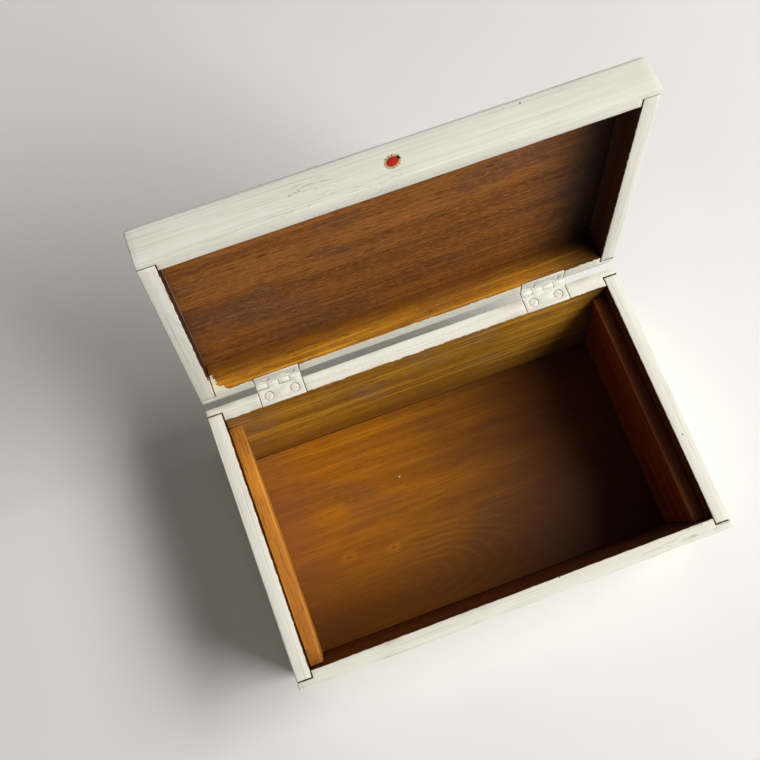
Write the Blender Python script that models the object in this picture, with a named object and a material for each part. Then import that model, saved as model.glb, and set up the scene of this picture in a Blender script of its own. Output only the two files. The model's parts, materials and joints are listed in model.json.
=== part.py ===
"""Small painted wooden keepsake box with a shallow lid on two butt hinges.

The front and back boards of the base lean in towards the bottom, the ends are
upright, and every corner is a nailed rebate. The lid is modelled closed and then
turned open about its hinge pins. Metres, X to the right, Y to the back, Z up.
The origin is the middle of the underside.
"""

import math

import bmesh
import bpy
from mathutils import Matrix, Vector

# Fits
GAP = 0.0003            # clearance between neighbouring pieces
CLOSED_GAP = 0.0004     # between the two rims when the lid is shut
OVERRUN = 0.003         # how far a cutter runs past the face it cuts

# Whole box
WIDTH = 0.240
DEPTH = 0.156           # over the front and back boards, at the rim
BASE_HEIGHT = 0.066
LID_HEIGHT = 0.020
LEAN = 0.18             # how far a leaning board moves in for each metre down
OPEN_ANGLE = math.radians(96.3)

# Boards, thickness measured level
FRONT_BOARD = 0.0078
BACK_BOARD = 0.0090
END_BOARD = 0.0082
LIP = 0.0041            # what a rebate leaves to cover the end grain
BOTTOM_PANEL = 0.0060
LID_FRONT_BOARD = 0.0092
LID_BACK_BOARD = 0.0088
TOP_PANEL = 0.0036
EDGE_ROUND = 0.0008
LID_EDGE_ROUND = 0.0030

# Battens on the inside of the ends
BATTEN = 0.0075
BATTEN_DROP = 0.0100    # from the rim down to a batten's top

# Hinges
HINGE_INSET = 0.0427    # from the end of the box to a hinge's middle
LEAF_LENGTH = 0.0250
LEAF = 0.0009
PIN_RADIUS = 0.00075
BARREL_RADIUS = 0.0016
PIN_OUT = BARREL_RADIUS + 0.0004    # pin axis behind the back boards
KNUCKLES = 4
KNUCKLE_GAP = 0.0003
TAB_REACH = 0.0010      # leaf metal that runs into a knuckle

# Fasteners
SCREW_HEAD_RADIUS = 0.0024
SCREW_RADIUS = 0.0011
SCREW_LENGTH = 0.0095
SCREW_TAPER = 0.0013
SCREW_SPACING = 0.0146
SCREW_INSET = 0.0042    # from the back face to a screw's middle
NAIL_HEAD_RADIUS = 0.0011
NAIL_RADIUS = 0.0007
NAIL_HEAD = 0.0005
NAIL_SUNK = 0.0006      # head below the painted face
CORNER_NAIL_LENGTH = 0.0200
PANEL_NAIL_LENGTH = 0.0160
BATTEN_NAIL_LENGTH = 0.0120
CORNER_NAIL_INSET = 0.014   # from the rim and from the underside
PANEL_NAIL_SPACING = 0.080
BATTEN_NAIL_SPACING = 0.070

# Ladybird transfer on the lid's front
LADYBIRD_LENGTH = 0.0064
LADYBIRD_WIDTH = 0.0048
LADYBIRD = 0.0003
LADYBIRD_TURN = math.radians(20.0)
LADYBIRD_ACROSS = -0.0022   # from the middle of the board
LADYBIRD_BELOW = 0.0014     # from the middle of the board towards the rim

FRONT = -DEPTH / 2
BACK = DEPTH / 2
LEFT = -WIDTH / 2
RIGHT = WIDTH / 2
RIM = BASE_HEIGHT
LID_RIM = RIM + CLOSED_GAP
LID_TOP = LID_RIM + LID_HEIGHT
END_INNER = RIGHT - END_BOARD
PIN = Vector((0.0, BACK + PIN_OUT, RIM + CLOSED_GAP / 2))
FLOOR_TOP = BOTTOM_PANEL


def material(name, colour, roughness, metallic=0.0):
    """A Principled material of one colour."""
    made = bpy.data.materials.new(name)
    made.use_nodes = True
    shader = made.node_tree.nodes["Principled BSDF"]
    shader.inputs["Base Color"].default_value = (*colour, 1.0)
    shader.inputs["Roughness"].default_value = roughness
    shader.inputs["Metallic"].default_value = metallic
    made.diffuse_color = (*colour, 1.0)
    return made


def piece(name, bm, finish, at=(0.0, 0.0, 0.0), parent=None):
    """Turn a bmesh into a named object at a place, and free the bmesh."""
    mesh = bpy.data.meshes.new(name)
    bmesh.ops.recalc_face_normals(bm, faces=bm.faces)
    bm.to_mesh(mesh)
    bm.free()
    made = bpy.data.objects.new(name, mesh)
    bpy.context.scene.collection.objects.link(made)
    if finish:
        mesh.materials.append(finish)
    made.location = at
    made.parent = parent
    return made


def cutter(name, bm, parent=None):
    """A hidden tool for a Boolean."""
    tool = piece(name, bm, None, parent=parent)
    tool.hide_render = True
    tool.display_type = "WIRE"
    return tool


def combine(target, tool, operation="DIFFERENCE"):
    """Cut a tool from a piece, or join it on."""
    boolean = target.modifiers.new(tool.name, "BOOLEAN")
    boolean.operation = operation
    boolean.solver = "EXACT"
    boolean.object = tool


def soften(target, width, segments=1):
    """Round a piece's sharp edges a little."""
    bevel = target.modifiers.new("worn_edges", "BEVEL")
    bevel.width = width
    bevel.segments = segments
    bevel.limit_method = "ANGLE"
    bevel.angle_limit = math.radians(50)
    bevel.harden_normals = False


def smooth(target):
    """Shade a round piece smooth between its sharp edges."""
    target.data.shade_smooth()
    target.data.set_sharp_from_angle(angle=math.radians(40))


def extruded(outline, along):
    """A closed prism: a flat outline carried along a vector."""
    bm = bmesh.new()
    face = bm.faces.new([bm.verts.new(point) for point in outline])
    moved = bmesh.ops.extrude_face_region(bm, geom=[face])["geom"]
    verts = [item for item in moved if isinstance(item, bmesh.types.BMVert)]
    bmesh.ops.translate(bm, verts=verts, vec=along)
    return bm


def add_box(bm, low, high):
    """Add a box between two corners to a bmesh."""
    size = Vector(high) - Vector(low)
    middle = (Vector(high) + Vector(low)) / 2
    place = Matrix.Translation(middle) @ Matrix.Diagonal((*size, 1.0))
    bmesh.ops.create_cube(bm, size=1.0, matrix=place)


def add_turned(bm, profile, place, sides=16):
    """Add a turned solid to a bmesh: (radius, height) pairs from pole to pole, spun about Z."""
    verts = [bm.verts.new((radius, 0.0, height)) for radius, height in profile]
    edges = [bm.edges.new(pair) for pair in zip(verts, verts[1:])]
    bmesh.ops.spin(
        bm, geom=verts + edges, cent=(0, 0, 0), axis=(0, 0, 1),
        angle=2 * math.pi, steps=sides, use_merge=True,
    )
    fresh = [vert for vert in bm.verts if not vert.tag]
    bmesh.ops.remove_doubles(bm, verts=fresh, dist=1e-7)
    fresh = [vert for vert in bm.verts if not vert.tag]
    bmesh.ops.transform(bm, matrix=place, verts=fresh)
    for vert in fresh:
        vert.tag = True


def facing(point, normal):
    """The placement that turns +Z to a face's outward normal at a point."""
    return Matrix.Translation(point) @ Vector(normal).to_track_quat("Z", "Y").to_matrix().to_4x4()


def lean_in(z):
    """How far a leaning board has moved in at a height."""
    return LEAN * (RIM - z)


def leaning_board(outer, thickness, inwards):
    """Front or back board of the base: a rebated plan outline carried down the lean."""
    return rebated_board(outer, thickness, inwards, RIM, Vector((0.0, inwards * lean_in(0.0), -RIM)))


def rebated_board(outer, thickness, inwards, top, down):
    """A long board whose ends are rebated to lap the end boards."""
    lip = outer + inwards * LIP
    inner = outer + inwards * thickness
    step = END_INNER - GAP
    outline = [
        (LEFT, outer, top), (RIGHT, outer, top), (RIGHT, lip, top), (step, lip, top),
        (step, inner, top), (-step, inner, top), (-step, lip, top), (LEFT, lip, top),
    ]
    return extruded(outline, down)


def round_lid_edges(bm):
    """Round the edges that run round the outside of the lid's top."""
    def outside(first, second):
        level = abs(first.z - LID_TOP) < 1e-6 and abs(second.z - LID_TOP) < 1e-6
        long = any(abs(first.y - y) < 1e-6 and abs(second.y - y) < 1e-6 for y in (FRONT, BACK))
        short = any(abs(first.x - x) < 1e-6 and abs(second.x - x) < 1e-6 for x in (LEFT, RIGHT))
        return level and (long or short)

    edges = [edge for edge in bm.edges if outside(edge.verts[0].co, edge.verts[1].co)]
    bmesh.ops.bevel(bm, geom=edges, affect="EDGES", offset=LID_EDGE_ROUND, segments=5, profile=0.5)


def between(front_top, back_top, low, high, x_low, x_high):
    """A slab across the box whose front and back edges follow the leaning boards."""
    outline = [
        (x_low, front_top + lean_in(low), low), (x_low, back_top - lean_in(low), low),
        (x_low, back_top - lean_in(high), high), (x_low, front_top + lean_in(high), high),
    ]
    return extruded(outline, Vector((x_high - x_low, 0.0, 0.0)))


def box_between(low, high):
    """A plain box as a bmesh."""
    bm = bmesh.new()
    add_box(bm, low, high)
    return bm


# Fastener shapes, head uppermost, with the face they are driven through at height 0

def nail_profile(length, clearance=0.0):
    """A panel pin, or with a clearance the hole for one, open at the face."""
    top = OVERRUN if clearance else -NAIL_SUNK
    head, shank = NAIL_HEAD_RADIUS + clearance, NAIL_RADIUS + clearance
    under = -NAIL_SUNK - NAIL_HEAD - clearance
    return [(0.0, top), (head, top), (head, under), (shank, under),
            (shank, -length - clearance), (0.0, -length - clearance)]


def screw_profile(clearance=0.0):
    """A countersunk wood screw, or with a clearance the hole for one."""
    top = OVERRUN if clearance else -0.00005
    head, shank = SCREW_HEAD_RADIUS + clearance, SCREW_RADIUS + clearance
    rim = -0.0004
    under = rim - SCREW_TAPER
    return [(0.0, top), (head, top), (head, rim - clearance), (shank, under - clearance),
            (shank, -SCREW_LENGTH - clearance), (0.0, -SCREW_LENGTH - clearance)]


def corner_nails(prefix, heights, front, back, lean):
    """Nails through the long boards' lips into the end boards: name, point and outward normal."""
    found = []
    for side, x in (("left", LEFT + END_BOARD / 2), ("right", RIGHT - END_BOARD / 2)):
        for row, z in heights:
            inset = lean * (RIM - z)
            tail = f"_{row}" if row else ""
            found.append((f"{prefix}_front_{side}_nail{tail}", (x, front + inset, z), (0, -1, 0)))
            found.append((f"{prefix}_back_{side}_nail{tail}", (x, back - inset, z), (0, 1, 0)))
    return found


def panel_nails():
    """Nails through the front and back boards into the bottom panel."""
    z = BOTTOM_PANEL / 2
    found = []
    for number, x in enumerate((-PANEL_NAIL_SPACING, 0.0, PANEL_NAIL_SPACING), 1):
        found.append((f"panel_front_nail_{number}", (x, FRONT + lean_in(z), z), (0, -1, 0)))
        found.append((f"panel_back_nail_{number}", (x, BACK - lean_in(z), z), (0, 1, 0)))
    return found


def batten_nails():
    """Nails through the battens into the end boards."""
    face = END_INNER - GAP - BATTEN
    z = (FLOOR_TOP + RIM - BATTEN_DROP) / 2
    found = []
    for side, sign in (("left", -1), ("right", 1)):
        for row, y in (("front", -BATTEN_NAIL_SPACING / 2), ("back", BATTEN_NAIL_SPACING / 2)):
            found.append((f"{side}_batten_nail_{row}", (sign * face, y, z), (-sign, 0, 0)))
    return found


def hinge_screws(body, z, normal):
    """Two screws through each leaf of a body."""
    found = []
    for side, sign in (("left", -1), ("right", 1)):
        middle = sign * (RIGHT - HINGE_INSET)
        for row, step in (("outer", sign), ("inner", -sign)):
            x = middle + step * SCREW_SPACING / 2
            found.append((f"{side}_hinge_{body}_screw_{row}", (x, BACK - SCREW_INSET, z), normal))
    return found


def hole_tool(name, holes, parent, shift):
    """One cutter with every hole of a body: (place, profile) pairs."""
    bm = bmesh.new()
    for place, profile in holes:
        add_turned(bm, profile, shift @ place)
    return cutter(name, bm, parent)


def leaf_piece(name, middle, face, sign, first, thickness, finish, parent, shift):
    """One hinge leaf: a plate let into a rim, with every other knuckle of the barrel.

    sign is +1 where the wood lies above the leaf and -1 where it lies below it.
    """
    inner = BACK - thickness
    plate = box_between(
        (middle - LEAF_LENGTH / 2, inner, min(face, face + sign * LEAF)),
        (middle + LEAF_LENGTH / 2, BACK + 0.0001, max(face, face + sign * LEAF)),
    )
    pitch = LEAF_LENGTH / KNUCKLES
    knuckles, tabs = bmesh.new(), []
    for number in range(first, KNUCKLES, 2):
        low = middle - LEAF_LENGTH / 2 + number * pitch + (KNUCKLE_GAP / 2 if number else 0.0)
        high = middle - LEAF_LENGTH / 2 + (number + 1) * pitch - (
            KNUCKLE_GAP / 2 if number < KNUCKLES - 1 else 0.0)
        tabs.append((low, high))
        place = Matrix.Translation(((low + high) / 2, PIN.y, PIN.z)) @ Matrix.Rotation(math.pi / 2, 4, "Y")
        bmesh.ops.create_cone(
            knuckles, cap_ends=True, segments=24, radius1=BARREL_RADIUS,
            radius2=BARREL_RADIUS, depth=high - low, matrix=shift @ place,
        )
    bmesh.ops.transform(plate, matrix=shift, verts=plate.verts)
    leaf = piece(name, plate, finish, parent=parent)
    for number, (low, high) in enumerate(tabs):
        tab = box_between(
            (low, BACK - 0.001, min(face, face + sign * LEAF)),
            (high, BACK + TAB_REACH, max(face, face + sign * LEAF)),
        )
        bmesh.ops.transform(tab, matrix=shift, verts=tab.verts)
        combine(leaf, cutter(f"{name}_tab_{number}", tab, parent), "UNION")
    combine(leaf, cutter(f"{name}_knuckles", knuckles, parent), "UNION")
    bore = bmesh.new()
    place = Matrix.Translation((middle, PIN.y, PIN.z)) @ Matrix.Rotation(math.pi / 2, 4, "Y")
    bmesh.ops.create_cone(
        bore, cap_ends=True, segments=24, radius1=PIN_RADIUS + GAP, radius2=PIN_RADIUS + GAP,
        depth=LEAF_LENGTH + 2 * OVERRUN, matrix=shift @ place,
    )
    combine(leaf, cutter(f"{name}_bore", bore, parent))
    return leaf


def recess_tool(name, face, sign, parent, shift):
    """The two pockets that let the leaves into a rim."""
    bm = bmesh.new()
    for side in (-1, 1):
        middle = side * (RIGHT - HINGE_INSET)
        half = LEAF_LENGTH / 2 + GAP
        near, far = face - sign * OVERRUN, face + sign * (LEAF + GAP)
        place = bmesh.ops.create_cube(bm, size=1.0)["verts"]
        size = (2 * half, BACK_BOARD + LIP + 2 * OVERRUN, abs(far - near))
        centre = (middle, BACK - BACK_BOARD / 2, (near + far) / 2)
        bmesh.ops.transform(bm, matrix=shift @ Matrix.Translation(centre) @ Matrix.Diagonal((*size, 1)), verts=place)
    return cutter(name, bm, parent)


def ladybird(finish, parent, shift):
    """A thin oval transfer on the lid's front board."""
    bm = bmesh.new()
    bmesh.ops.create_cone(bm, cap_ends=True, segments=32, radius1=0.5, radius2=0.5, depth=1.0)
    size = Matrix.Diagonal((LADYBIRD_LENGTH, LADYBIRD_WIDTH, LADYBIRD, 1.0))
    turn = Matrix.Rotation(LADYBIRD_TURN, 4, "Z")
    middle = (LADYBIRD_ACROSS, FRONT - GAP - LADYBIRD / 2, (LID_RIM + LID_TOP) / 2 - LADYBIRD_BELOW)
    bmesh.ops.transform(bm, matrix=shift @ facing(middle, (0, -1, 0)) @ turn @ size, verts=bm.verts)
    return piece("ladybird_transfer", bm, finish, parent=parent)


def fasteners(found, profile, finish, parent, shift):
    """One object for each nail or screw."""
    for name, point, normal in found:
        bm = bmesh.new()
        add_turned(bm, profile, shift @ facing(point, normal), sides=12)
        smooth(piece(name, bm, finish, parent=parent))


def build_base(paint, wood, metal, steel):
    """The base and everything that stays with it."""
    still = Matrix.Identity(4)
    front_inner, back_inner = FRONT + FRONT_BOARD + GAP, BACK - BACK_BOARD - GAP
    boards = [
        piece("base_front_board", leaning_board(FRONT, FRONT_BOARD, 1), paint),
        piece("base_back_board", leaning_board(BACK, BACK_BOARD, -1), paint),
    ]
    for side, x in (("left", LEFT), ("right", END_INNER)):
        end = between(FRONT + LIP + GAP, BACK - LIP - GAP, 0.0, RIM, x, x + END_BOARD)
        boards.append(piece(f"base_{side}_end", end, paint))
        inner = x + END_BOARD + GAP if side == "left" else x - GAP - BATTEN
        batten = between(front_inner, back_inner, FLOOR_TOP + GAP, RIM - BATTEN_DROP, inner, inner + BATTEN)
        boards.append(piece(f"{side}_batten", batten, wood))
    across = END_INNER - GAP
    panel = between(front_inner, back_inner, 0.0, FLOOR_TOP, -across, across)
    boards.append(piece("base_bottom_panel", panel, wood))

    corners = [("upper", RIM - CORNER_NAIL_INSET), ("lower", CORNER_NAIL_INSET)]
    groups = [
        (corner_nails("base", corners, FRONT, BACK, LEAN), CORNER_NAIL_LENGTH),
        (panel_nails(), PANEL_NAIL_LENGTH),
        (batten_nails(), BATTEN_NAIL_LENGTH),
    ]
    screws = hinge_screws("base", RIM, (0, 0, 1))
    holes = [(facing(p, n), nail_profile(length, GAP)) for found, length in groups for _, p, n in found]
    screw_holes = [(facing(p, n), screw_profile(GAP)) for _, p, n in screws]
    nail_tool = hole_tool("base_nail_holes", holes, None, still)
    screw_tool = hole_tool("base_screw_holes", screw_holes, None, still)
    recess = recess_tool("base_leaf_recesses", RIM, -1, None, still)
    for board in boards:
        soften(board, EDGE_ROUND / 2)
        combine(board, nail_tool)
    combine(boards[1], recess)
    combine(boards[1], screw_tool)

    for found, length in groups:
        fasteners(found, nail_profile(length), steel, None, still)
    fasteners(screws, screw_profile(), metal, None, still)
    for side, sign in (("left", -1), ("right", 1)):
        middle = sign * (RIGHT - HINGE_INSET)
        leaf = leaf_piece(f"{side}_hinge_base_leaf", middle, RIM, -1, 1, BACK_BOARD, metal, None, still)
        combine(leaf, screw_tool)
        smooth(leaf)
        pin = bmesh.new()
        bmesh.ops.create_cone(pin, cap_ends=True, segments=16, radius1=PIN_RADIUS, radius2=PIN_RADIUS,
                              depth=LEAF_LENGTH, matrix=Matrix.Rotation(math.pi / 2, 4, "Y"))
        smooth(piece(f"{side}_hinge_pin", pin, metal, at=(middle, PIN.y, PIN.z)))


def build_lid(paint, metal, steel, red):
    """The lid and everything that turns with it, about an empty on the pins' axis."""
    pivot = bpy.data.objects.new("lid_pivot", None)
    bpy.context.scene.collection.objects.link(pivot)
    pivot.location = PIN
    pivot.rotation_euler.x = -OPEN_ANGLE
    shift = Matrix.Translation(-PIN)
    up = Vector((0.0, 0.0, LID_HEIGHT))

    def lid_piece(name, bm, finish):
        round_lid_edges(bm)
        bmesh.ops.transform(bm, matrix=shift, verts=bm.verts)
        return piece(name, bm, finish, parent=pivot)

    front = lid_piece("lid_front_board", rebated_board(FRONT, LID_FRONT_BOARD, 1, LID_RIM, up), paint)
    back = lid_piece("lid_back_board", rebated_board(BACK, LID_BACK_BOARD, -1, LID_RIM, up), paint)
    boards = [front, back]
    for side, x in (("left", LEFT), ("right", END_INNER)):
        end = box_between((x, FRONT + LIP + GAP, LID_RIM), (x + END_BOARD, BACK - LIP - GAP, LID_TOP))
        boards.append(lid_piece(f"lid_{side}_end", end, paint))
    across = END_INNER - GAP
    panel = box_between(
        (-across, FRONT + LID_FRONT_BOARD + GAP, LID_TOP - TOP_PANEL),
        (across, BACK - LID_BACK_BOARD - GAP, LID_TOP),
    )
    boards.append(lid_piece("lid_top_panel", panel, paint))

    middle = [("", (LID_RIM + LID_TOP) / 2)]
    nails = corner_nails("lid", middle, FRONT, BACK, 0.0)
    screws = hinge_screws("lid", LID_RIM, (0, 0, -1))
    holes = [(facing(p, n), nail_profile(CORNER_NAIL_LENGTH, GAP)) for _, p, n in nails]
    screw_holes = [(facing(p, n), screw_profile(GAP)) for _, p, n in screws]
    nail_tool = hole_tool("lid_nail_holes", holes, pivot, shift)
    screw_tool = hole_tool("lid_screw_holes", screw_holes, pivot, shift)
    recess = recess_tool("lid_leaf_recesses", LID_RIM, 1, pivot, shift)
    for board in boards:
        soften(board, EDGE_ROUND / 2)
        combine(board, nail_tool)
    combine(back, recess)
    combine(back, screw_tool)

    fasteners(nails, nail_profile(CORNER_NAIL_LENGTH), steel, pivot, shift)
    fasteners(screws, screw_profile(), metal, pivot, shift)
    for side, sign in (("left", -1), ("right", 1)):
        place = sign * (RIGHT - HINGE_INSET)
        leaf = leaf_piece(f"{side}_hinge_lid_leaf", place, LID_RIM, 1, 0, LID_BACK_BOARD, metal, pivot, shift)
        combine(leaf, screw_tool)
        smooth(leaf)
    ladybird(red, pivot, shift)


def main():
    """Build the box with its lid open."""
    for old in list(bpy.data.objects):
        bpy.data.objects.remove(old)
    paint = material("off_white_paint", (0.82, 0.80, 0.73), 0.55)
    wood = material("varnished_wood", (0.30, 0.13, 0.03), 0.35)
    metal = material("painted_hinge", (0.80, 0.79, 0.73), 0.45)
    steel = material("steel_pin", (0.35, 0.34, 0.33), 0.45, 1.0)
    red = material("ladybird_red", (0.62, 0.04, 0.02), 0.40)
    build_base(paint, wood, metal, steel)
    build_lid(paint, metal, steel, red)


main()
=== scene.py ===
"""Looks for the painted keepsake box: planks, battens, hinges, transfer, floor, light and camera.

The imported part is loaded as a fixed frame. Each visible plank is rebuilt as a worn, brush-painted
board in the frame of the shut box, and the lid's pieces are then turned open about the hinge pins.
All lengths are in metres.
"""

import json
import logging
import math
from dataclasses import dataclass, field
from enum import Enum
from typing import Callable, Dict, Iterable, List, Optional, Sequence, Tuple

import bmesh
import bpy
from mathutils import Matrix, Vector, noise


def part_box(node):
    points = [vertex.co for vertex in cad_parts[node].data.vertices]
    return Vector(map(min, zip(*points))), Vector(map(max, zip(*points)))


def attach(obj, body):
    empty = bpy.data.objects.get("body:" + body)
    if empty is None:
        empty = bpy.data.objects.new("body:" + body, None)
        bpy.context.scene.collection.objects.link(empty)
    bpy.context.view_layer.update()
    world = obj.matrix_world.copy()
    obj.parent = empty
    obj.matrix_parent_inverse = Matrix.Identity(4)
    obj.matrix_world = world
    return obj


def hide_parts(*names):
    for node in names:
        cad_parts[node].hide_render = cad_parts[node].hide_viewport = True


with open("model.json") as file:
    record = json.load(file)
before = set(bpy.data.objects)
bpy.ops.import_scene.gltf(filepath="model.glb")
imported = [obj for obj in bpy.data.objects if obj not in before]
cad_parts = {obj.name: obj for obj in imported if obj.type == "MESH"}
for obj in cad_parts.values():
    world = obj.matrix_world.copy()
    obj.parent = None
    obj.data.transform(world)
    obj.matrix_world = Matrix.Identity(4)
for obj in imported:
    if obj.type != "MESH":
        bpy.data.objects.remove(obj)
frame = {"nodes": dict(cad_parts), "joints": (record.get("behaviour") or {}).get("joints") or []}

LOG = logging.getLogger("keepsake_box")
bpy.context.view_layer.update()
MM = 0.001
TINY = 1e-6
FACES = 0.9
LOOKS_IN = 0.6
DEEP_INSIDE = 0.05
OUTSIDE = -0.02
OLD_VARNISH_SHINE = 0.16
RUBBED_SHINE = 0.35
SHADOW_START = 4 * MM

Colour = Tuple[float, float, float]
Triple = Tuple[float, float, float]
Block = Tuple[Vector, Vector]
BMesh = bmesh.types.BMesh
Material = bpy.types.Material
Node = bpy.types.Node
NodeTree = bpy.types.NodeTree
Object = bpy.types.Object
Socket = bpy.types.NodeSocket


def shaded(colour: Colour, factor: float, lift: float = 0.0) -> Colour:
    """A colour made darker or lighter by a factor, with a little added to every part."""
    return tuple(min(1.0, factor * part + lift) for part in colour)


class Body(Enum):
    """The two bodies a piece can ride on."""

    BOX = "box"
    LID = "lid"


class Slot(Enum):
    """The record's material slots."""

    PAINTED = "painted_wood"
    VARNISHED = "varnished_wood"
    HINGE = "hinge_metal"
    NAIL = "nail_steel"
    TRANSFER = "transfer"


class Stance(Enum):
    """How a plank of the shut box stands."""

    UPRIGHT = "upright"
    LEANS_BACK = "front board, leaning back towards its foot"
    LEANS_FORWARD = "back board, leaning forward towards its foot"
    TAPERS = "fits between the two leaning boards"


class Run(Enum):
    """The direction a plank's grain runs in, as the order its axes are read in."""

    ACROSS_BOX = (0, 1, 2)
    FRONT_TO_BACK = (1, 0, 2)


# ---------------------------------------------------------------- node tools


class Graph:
    """Adds nodes to one node tree and links them. Every method returns an output socket."""

    def __init__(self, tree: NodeTree) -> None:
        """Start on a tree.

        Args:
            tree: The node tree that new nodes go in.
        """
        self.tree = tree

    def add(self, kind: str, **settings: object) -> Node:
        """Add a node and set its plain properties."""
        node = self.tree.nodes.new(kind)
        for name, value in settings.items():
            setattr(node, name, value)
        return node

    def plug(self, value: object, socket: Socket) -> None:
        """Link a socket, or set a plain value, on an input."""
        if isinstance(value, Socket):
            self.tree.links.new(value, socket)
        elif value is not None:
            if isinstance(value, tuple) and socket.type == "RGBA" and len(value) == 3:
                value = (*value, 1.0)
            socket.default_value = value

    def attribute(self, name: str, output: str = "Vector") -> Socket:
        """Read a mesh attribute."""
        return self.add("ShaderNodeAttribute", attribute_name=name).outputs[output]

    def math(self, operation: str, a: object, b: object = None) -> Socket:
        """A scalar sum."""
        node = self.add("ShaderNodeMath", operation=operation)
        for value, socket in zip((a, b), node.inputs):
            self.plug(value, socket)
        return node.outputs[0]

    def times(self, a: object, b: object) -> Socket:
        """One number times another."""
        return self.math("MULTIPLY", a, b)

    def plus(self, a: object, b: object) -> Socket:
        """Two numbers added."""
        return self.math("ADD", a, b)

    def less(self, a: object, b: object) -> Socket:
        """The first number less the second."""
        return self.math("SUBTRACT", a, b)

    def vector(self, operation: str, a: object, b: object = None) -> Socket:
        """A vector sum."""
        node = self.add("ShaderNodeVectorMath", operation=operation)
        self.plug(a, node.inputs[0])
        self.plug(b, node.inputs[1])
        return node.outputs["Value" if operation in ("LENGTH", "DISTANCE", "DOT_PRODUCT") else "Vector"]

    def split(self, vector: object) -> List[Socket]:
        """The three parts of a vector."""
        node = self.add("ShaderNodeSeparateXYZ")
        self.plug(vector, node.inputs[0])
        return list(node.outputs)

    def join(self, x: object, y: object, z: object) -> Socket:
        """A vector from three parts."""
        node = self.add("ShaderNodeCombineXYZ")
        for value, socket in zip((x, y, z), node.inputs):
            self.plug(value, socket)
        return node.outputs[0]

    def fade(self, value: object, low: object, high: object, out_low: float = 0.0,
             out_high: float = 1.0) -> Socket:
        """Map a value smoothly from one range to another, held at both ends."""
        node = self.add("ShaderNodeMapRange", interpolation_type="SMOOTHSTEP")
        for part, socket in zip((value, low, high, out_low, out_high), node.inputs):
            self.plug(part, socket)
        return node.outputs[0]

    def mix(self, factor: object, a: object, b: object) -> Socket:
        """Mix two colours."""
        node = self.add("ShaderNodeMix", data_type="RGBA")
        self.plug(factor, node.inputs["Factor"])
        self.plug(a, node.inputs[6])
        self.plug(b, node.inputs[7])
        return node.outputs[2]

    def blend(self, factor: object, a: object, b: object) -> Socket:
        """Mix two numbers."""
        node = self.add("ShaderNodeMix", data_type="FLOAT")
        for value, socket in zip((factor, a, b), (node.inputs[0], node.inputs[2], node.inputs[3])):
            self.plug(value, socket)
        return node.outputs[0]

    def noise(self, vector: object, stretch: Triple, detail: float = 3.0, rough: float = 0.55,
              twist: float = 0.0) -> Socket:
        """Noise on a vector scaled by so many cells to the metre along each axis."""
        scaled = self.vector("MULTIPLY", vector, stretch)
        node = self.add("ShaderNodeTexNoise")
        self.plug(scaled, node.inputs["Vector"])
        self.plug(1.0, node.inputs["Scale"])
        self.plug(detail, node.inputs["Detail"])
        self.plug(rough, node.inputs["Roughness"])
        self.plug(twist, node.inputs["Distortion"])
        return node.outputs["Fac"]

    def use(self, group: NodeTree, **inputs: object) -> Node:
        """Place a shader node group and plug its inputs by name."""
        node = self.add("ShaderNodeGroup")
        node.node_tree = group
        for name, value in inputs.items():
            self.plug(value, node.inputs[name])
        return node


class Effect:
    """A shader node group under construction, with named inputs and outputs."""

    def __init__(self, name: str, inputs: Dict[str, str], outputs: Dict[str, str]) -> None:
        """Make the empty group.

        Args:
            name: The group's name.
            inputs: Socket type by input name.
            outputs: Socket type by output name.
        """
        self.tree = bpy.data.node_groups.new(name, "ShaderNodeTree")
        for label, kind in inputs.items():
            self.tree.interface.new_socket(label, in_out="INPUT", socket_type=kind)
        for label, kind in outputs.items():
            self.tree.interface.new_socket(label, in_out="OUTPUT", socket_type=kind)
        self.graph = Graph(self.tree)
        self.inputs = self.graph.add("NodeGroupInput").outputs
        self._outputs = self.graph.add("NodeGroupOutput").inputs

    def give(self, **values: object) -> None:
        """Link values to the group's outputs."""
        for name, value in values.items():
            self.graph.plug(value, self._outputs[name])


VECTOR = "NodeSocketVector"
NUMBER = "NodeSocketFloat"


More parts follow.
